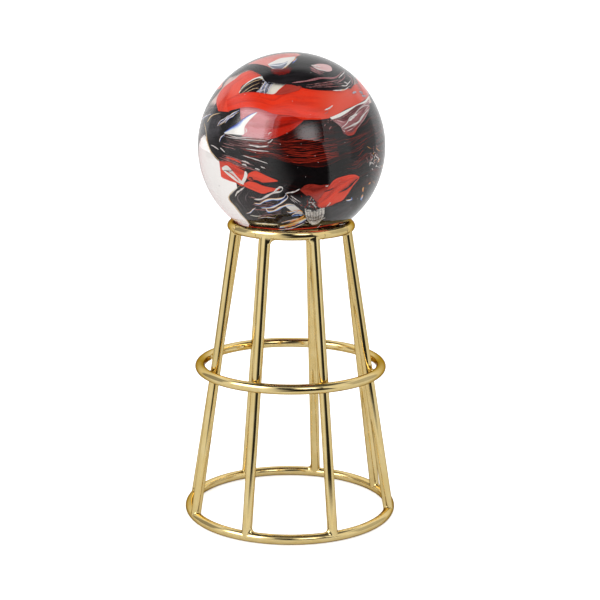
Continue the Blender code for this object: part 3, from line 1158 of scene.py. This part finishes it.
# Single threads: name, finish, layer, then each thread's width and line
FRONT_STROKES = (
    ("white_lines", "line", 9, (
        (2.5, ((-40, -56), (-33, -56), (-27, -53), (-19, -49), (-12, -48), (-9, -45))),
        (2.2, ((-19, -48), (-14, -44), (-11, -43), (-9, -45))),
        (1.4, ((-7, -50), (-3, -49), (3, -48), (9, -45))),
        (2.2, ((-60, -53), (-58, -49), (-54, -46), (-50, -43))),
        (1.2, ((-86, 2), (-82, 0), (-78, -3))),
        (1.1, ((-76, -1), (-74, -3), (-71, -6))),
        (0.7, ((-71, 14), (-58, 10), (-41, 10))),
        (0.8, ((-72, 11), (-60, 9), (-41, 7), (-25, 6))),
        (2.0, ((-46, 2), (-34, 0), (-24, 1))),
        (1.2, ((-49, -2), (-37, -4), (-24, -5))),
        (1.0, ((-53, -9), (-40, -13), (-25, -18))),
        (1.5, ((-53, -15), (-49, -16), (-45, -18))),
        (1.8, ((-53, -19), (-50, -19), (-48, -21))),
        (1.2, ((-39, -23), (-36, -24), (-34, -25))),
        (1.0, ((-33, -21), (-31, -22), (-28, -23))),
        (1.9, ((35, 39), (40, 41), (44, 44))),
        (1.2, ((53, 20), (59, 25), (62, 31), (67, 34), (72, 40), (79, 44), (83, 43))),
        (2.1, ((56, 19), (65, 23), (72, 27), (76, 33), (82, 40))),
        (3.0, ((61, 27), (66, 32), (70, 35))),
        (1.2, ((53, 65), (58, 65), (61, 68), (63, 71))),
        (1.0, ((56, 69), (58, 68), (60, 67))),
        (1.4, ((44, 60), (50, 60), (57, 61), (62, 65))),
        (1.2, ((50, 73), (53, 76), (57, 80))),
        (1.2, ((-49, 20), (-48, 17), (-49, 15))),
        (1.0, ((36, -42), (38, -42), (39, -41))),
        (1.1, ((-25, 13), (-23, 15), (-21, 15))),
        (1.1, ((-26, 4), (-23, 5), (-20, 8))))),
    # Pale threads with painted fringes of split light, orange on one side and blue on the other.
    ("fringed_lines", "fringe", 9, (
        (2.8, ((-40, -60), (-34, -61), (-29, -58), (-21, -56), (-14, -56), (-8, -54), (-6, -50))),
        (2.5, ((-6, -50), (-4, -54), (-9, -58), (-15, -62), (-23, -65), (-33, -65))),
        (2.9, ((-28, -64), (-25, -69), (-18, -68), (-10, -64), (-3, -62), (3, -63))),
        (1.8, ((-48, -71), (-44, -70), (-41, -67), (-38, -65))),
        (1.2, ((-77, 5), (-75, 10), (-71, 13))),
        (1.1, ((-79, 22), (-76, 27), (-71, 30), (-66, 34))),
        (1.1, ((-71, 25), (-67, 30), (-63, 32), (-58, 37))),
        (1.1, ((-97, 27), (-92, 32), (-85, 35))),
        (1.6, ((0, -73), (5, -71), (12, -72))),
        (1.8, ((-5, -69), (-2, -70), (3, -69), (8, -67))),
        (1.2, ((-19, -89), (-8, -88), (3, -86), (14, -81))),
        (1.1, ((-11, -81), (-3, -79), (8, -76))),
        (0.8, ((-36, -76), (-26, -75), (-17, -76))),
        (1.9, ((58, -57), (61, -57), (64, -56))),
        (1.6, ((74, -56), (75, -54), (76, -52))),
        (1.1, ((50, -83), (56, -82), (62, -80))))),
    # Painted light: amber fringes of split light where the dark glass meets the clear glass.
    ("amber_split_light_edges", "amber", 2, (
        (1.0, ((-93, 26), (-91, 16), (-90, 6), (-86, -5), (-80, -12), (-76, -16))),
        (1.0, ((-54, -41), (-60, -45), (-65, -50), (-67, -53), (-66, -57), (-60, -64), (-53, -73),
         (-48, -78), (-43, -85))))),
    ("cup_ribs", "dark", 12, (
        (0.45, ((16, -67), (17, -73), (19, -80))),
        (0.5, ((19, -66), (20, -73), (21, -79))),
        (0.45, ((23, -67), (23, -74), (24, -81))),
        (0.45, ((26, -67), (26, -74), (26, -80))),
        (0.5, ((29, -66), (29, -73), (28, -79))),
        (0.45, ((32, -66), (32, -72), (30, -79))),
        (0.3, ((15, -73), (23, -76), (34, -72))),
        (0.3, ((16, -77), (23, -79), (32, -76))))),
    ("oval_lines", "line", 10, (
        (1.2, ((21, 87), (26, 86), (31, 85))),
        (0.8, ((23, 85), (30, 82), (37, 81))))),
    # Painted light: thin amber fringes of split light along the wedge and the left mass.
    ("wedge_lines", "amber", 7, (
        (0.5, ((-56, 57), (-50, 64), (-39, 70), (-30, 72))),
        (0.4, ((-53, 57), (-43, 64), (-34, 68))),
        (0.4, ((-48, 58), (-40, 62), (-35, 62))),
        (0.9, ((-90, 26), (-85, 33), (-76, 36))),
        (0.8, ((-78, 22), (-71, 27), (-63, 33), (-56, 37))))),
    # Painted light: rainbow fringes of split light.
    ("wedge_fringes", "fringe", 8, (
        (1.3, ((-34, 57), (-31, 64), (-27, 70))),
        (1.2, ((-29, 56), (-28, 63), (-24, 69))),
        (1.0, ((-25, 56), (-24, 62), (-20, 68))),
        (1.6, ((-77, 24), (-71, 28), (-63, 35), (-55, 39))))),
    ("olive_lines", "cream", 3, (
        (1.2, ((-39, -81), (-29, -82), (-14, -83))),
        (0.7, ((-44, -73), (-38, -74), (-33, -74))))),
    ("black_lines", "dark", 9, (
        (1.6, ((82, 30), (86, 21), (89, 8), (89, 0), (88, -8), (84, -24), (78, -32))),
        (1.9, ((50, -49), (60, -44), (68, -36), (71, -34))),
        (1.2, ((35, -48), (41, -46), (45, -44))),
        (1.2, ((-45, -35), (-38, -36), (-30, -39), (-22, -39))),
        (1.6, ((-47, -34), (-44, -33), (-42, -34), (-42, -36))),
        (0.8, ((-73, -25), (-66, -26), (-62, -25))),
        (1.4, ((-29, 75), (-25, 68), (-19, 67))),
        (1.1, ((53, 73), (58, 71), (60, 68))),
        (1.2, ((44, 68), (50, 66), (57, 67))))),
    ("red_lines", "petal", 8, (
        (1.9, ((-70, -11), (-63, -13), (-58, -15), (-53, -18))),
        (1.1, ((-74, -15), (-66, -17), (-58, -21), (-49, -24))),
        (1.0, ((-71, -25), (-63, -30), (-56, -37))),
        (0.8, ((-74, -33), (-63, -37), (-53, -40))),
        (1.0, ((-47, -85), (-26, -87), (-12, -88), (16, -87), (37, -84), (55, -80))))),
    ("top_lines", "mauve", 9, (
        (2.3, ((0, 68), (16, 70), (31, 73), (44, 73), (49, 75), (54, 80), (57, 81))),
        (1.4, ((48, 68), (55, 72), (57, 77))),
        (1.2, ((59, 63), (64, 66), (64, 72), (59, 77))),
        (1.0, ((19, 85), (25, 81), (34, 77))),
        (1.1, ((20, 85), (28, 81), (35, 79))),
        (0.8, ((20, 82), (26, 79), (31, 77))))),
    # Painted light: orange glints of light split by the glass.
    ("orange_glints", "orange", 9, (
        (1.4, ((76, -48), (76, -45), (77, -43))),
        (1.0, ((82, -40), (83, -39), (84, -38))),
        (1.1, ((53, 60), (54, 60), (56, 61))),
        (1.2, ((75, -54), (75, -53), (76, -51))),
        (1.1, ((42, -84), (46, -83), (50, -82))),
        (2.4, ((-2, -80), (4, -78), (10, -76), (14, -73))),
        (1.6, ((-8, -86), (0, -84), (8, -81))),
        (1.1, ((5, -69), (9, -68), (12, -70))),
        (1.0, ((1, 91), (3, 92), (5, 95))))),
    # Painted light: blue glints of light split by the glass.
    ("blue_glints", "blue", 9, (
        (1.2, ((75, -57), (74, -56), (74, -54))),
        (1.2, ((63, -57), (64, -56), (64, -54))),
        (1.1, ((0, -74), (7, -73), (12, -73))),
        (1.0, ((1, 89), (3, 91), (6, 94))),
        (1.4, ((-26, -69), (-24, -70), (-23, -69))))),
    ("grey_blots", "bluish", 7, (
        (2.7, ((65, 57), (67, 58), (69, 58))),
        (2.1, ((72, 59), (74, 58), (76, 56))),
        (2.2, ((75, 55), (77, 54), (79, 54))))),
)

# Bundles of threads: name, finish, layer, upper edge, lower edge, count, width
FRONT_BUNDLES = (
    ("mid_red_threads", "redline", 4, ((-22, 8), (11, 8), (48, 15)),
     ((-25, -11), (11, -18), (52, -13)), 34, 0.7),
    ("left_red_threads", "redline", 6, ((-50, 11), (-32, 9), (-14, 8)),
     ((-52, -9), (-32, -12), (-12, -14)), 14, 0.8),
    ("left_pink_threads", "pinkline", 4, ((-71, 13), (-49, 10), (-21, 9)),
     ((-76, 1), (-55, -5), (-25, -9)), 16, 0.5),
    ("left_white_threads", "pinkline", 5, ((-52, 9), (-38, 8), (-21, 8)),
     ((-52, 1), (-38, -6), (-22, -7)), 4, 0.5),
    ("low_pink_threads", "pinkline", 4, ((-85, -4), (-63, -11), (-41, -19)),
     ((-79, -13), (-62, -19), (-30, -28)), 10, 0.7),
    ("patch_threads", "pinkline", 7, ((46, 28), (61, 37), (82, 46)),
     ((56, 15), (70, 22), (82, 37)), 12, 0.8),
    ("foot_threads", "pinkline", 7, ((11, 66), (35, 69), (55, 72)),
     ((16, 63), (38, 63), (57, 64)), 10, 0.5),
    ("right_dim_threads", "redline", 1, ((55, 11), (68, 13), (83, 22)),
     ((55, -25), (70, -24), (83, -11)), 9, 0.4),
    ("strip_threads", "line", 8, ((-6, -48), (3, -54), (11, -59)), ((-6, -51), (1, -58), (9, -65)), 3, 0.7),
    ("lower_dim_threads", "pinkline", 3, ((-49, -51), (-30, -55), (-11, -54)),
     ((-44, -73), (-30, -74), (-11, -73)), 12, 0.5),
    ("wedge_threads", "line", 5, ((-38, 68), (-34, 64), (-33, 58)),
     ((-25, 69), (-25, 64), (-23, 58)), 5, 0.7),
)

# Knots of crumpled threads: name, finish, layer, middle, reach, count, width
FRONT_KNOTS = (
    ("white_crumple", "line", 9, (87, -14), (3.3, 4.7), 20, 0.5),
    ("pink_crumple", "pinkline", 8, (87, -11), (2.7, 8.2), 26, 0.4),
    ("amber_crumple", "orange", 9, (89, -16), (3.6, 6.8), 7, 0.4),
    ("cup_sparks", "line", 9, (20, -58), (2.2, 2.5), 9, 0.5),
    ("cup_reds", "redline", 8, (20, -59), (4.7, 4.7), 26, 0.7),
    ("cup_dark", "dark", 10, (24, -67), (6.0, 1.4), 16, 0.5),
    ("cup_gleams", "line", 11, (24, -74), (5.2, 4.1), 30, 0.4),
    ("patch_sparks", "pinkline", 7, (40, 26), (4.1, 4.1), 10, 0.7),
)

# The back, which the photograph hides, drawn as an eye sees it from behind
BACK_SHEETS = (
    ("back_top_shade", "smoke", 9.5, ((-64, 60), (-42, 58), (-20, 55), (0, 57), (22, 55), (46, 54),
     (62, 50)),
     ((-50, 36), (-34, 34), (-18, 26), (0, 22), (20, 24), (38, 34), (56, 40))),
    # Painted light: the window's cream glass stands in for the backdrop seen through a clear gap.
    ("back_top_window", "cream", 10.5, ((-24, 34), (-10, 40), (6, 40), (20, 34)),
     ((-22, 30), (-8, 27), (8, 27), (19, 31))),
    ("back_window_shade", "bluish", 11.5, ((-24, 34), (-16, 37), (-8, 38)),
     ((-22, 30), (-14, 29), (-6, 28))),
    ("back_band", "band", 12.5, ((-77, 57), (-66, 60), (-54, 54), (-42, 38), (-22, 22), (2, 12), (24, 14),
     (42, 30), (56, 48), (71, 57)),
     ((-76, 51), (-67, 38), (-54, 20), (-36, 2), (-12, -12), (12, -20), (34, -12), (54, 8), (67, 32),
     (73, 53))),
    ("back_band_fold", "deep", 13.5, ((-48, 34), (-30, 20), (-8, 8), (10, 4)),
     ((-46, 28), (-28, 10), (-8, 0), (8, 0))),
    ("back_hanging", "deep", 11.5, ((-40, 8), (-24, -6), (-6, -14), (12, -20), (28, -18)),
     ((-38, -16), (-24, -28), (-6, -38), (10, -40), (26, -30))),
    ("back_veil", "veil", 10.5, ((-56, 24), (-46, 12), (-36, 0), (-26, -8)),
     ((-58, 2), (-48, -10), (-38, -20), (-28, -26))),
    # Painted light: pale glass for the backdrop seen through a clear gap, with a painted blue fringe of
    # split light.
    ("back_low_window", "blue_edge", 12.5, ((-50, 6), (-42, -6), (-32, -14), (-24, -20)),
     ((-49, -8), (-41, -16), (-32, -21), (-25, -22))),
    ("back_stripes", "mauve", 13.5, ((8, -17), (20, -19), (32, -13), (42, -6)),
     ((10, -27), (22, -30), (34, -24), (43, -12))),
    ("back_petal_left", "petal", 9.5, ((-52, -44), (-40, -38), (-26, -42), (-14, -54)),
     ((-50, -52), (-38, -60), (-26, -60), (-15, -57))),
    ("back_petal_wedge", "white", 10.5, ((-48, -46), (-38, -44), (-22, -54)),
     ((-47, -48), (-36, -49), (-23, -55))),
    ("back_petal_right", "petal", 10.5, ((-14, -58), (0, -52), (14, -54), (24, -62)),
     ((-12, -62), (2, -68), (14, -68), (23, -64))),
)
BACK_BUNDLES = (
    ("back_red_threads", "redline", 7.5, ((-70, 0), (-30, -20), (30, -30)),
     ((-66, -34), (-30, -50), (24, -56)), 36, 0.7),
    ("back_pink_threads", "pinkline", 12.5, ((-44, -18), (-20, -34), (16, -40)),
     ((-44, -34), (-20, -46), (14, -50)), 12, 0.6),
    ("back_white_threads", "line", 13.5, ((-40, -20), (-16, -36), (18, -40)),
     ((-38, -30), (-16, -44), (14, -48)), 5, 0.9),
    ("back_top_threads", "pinkline", 12.5, ((-46, 46), (0, 46), (34, 44)),
     ((-40, 38), (0, 32), (34, 38)), 14, 0.7),
    ("back_low_threads", "redline", 7.5, ((-56, -60), (-10, -70), (30, -72)),
     ((-46, -72), (-8, -80), (26, -80)), 14, 0.7),
)


def lay_sheets(facing, finishes, table):
    for name, finish, layer, upper, lower in table:
        lay_sheet(facing, name, finishes[finish], layer, upper, lower)


def lay_bundles(facing, finishes, table):
    for number, (name, finish, layer, upper, lower, count, width) in enumerate(table):
        strokes = threads_between(upper, lower, count, width, number)
        lay_strokes(facing, name, finishes[finish], layer, strokes)


def make_front(facing, finishes):
    lay_sheets(facing, finishes, FRONT_SHEETS + FRONT_FILMS)
    for name, finish, layer, strokes in FRONT_STROKES:
        lay_strokes(facing, name, finishes[finish], layer, strokes)
    lay_bundles(facing, finishes, FRONT_BUNDLES)
    for number, (name, finish, layer, centre, reach, count, width) in enumerate(FRONT_KNOTS):
        strokes = crumpled(centre, reach, count, width, number)
        lay_strokes(facing, name, finishes[finish], layer, strokes)
    # Painted light: the pale specks are painted sparkles of light off tiny bubbles.
    lay_strokes(facing, "pale_specks", finishes["line"], 14, specks(26, 5))
    lay_strokes(facing, "dark_specks", finishes["dark"], 13, specks(20, 8))


def make_back(facing, finishes):
    """The back: the band runs on round it, with a plainer drawing."""
    lay_sheets(facing, finishes, BACK_SHEETS)
    lay_bundles(facing, finishes, BACK_BUNDLES)


def main():
    gold = gold_finish()
    for ring in (base, middle, top):
        make_ring(ring, gold)
    for make in (make_leg, make_seam, make_bead):
        for number in LEG_NUMBERS:
            make(number, gold)
    make_orb(glass_finish())
    front = front_facing()
    make_core(front)
    finishes = glass_finishes()
    make_front(front, finishes)
    make_back(back_facing(), finishes)
    make_studio()
    make_camera()
    make_view()


main()
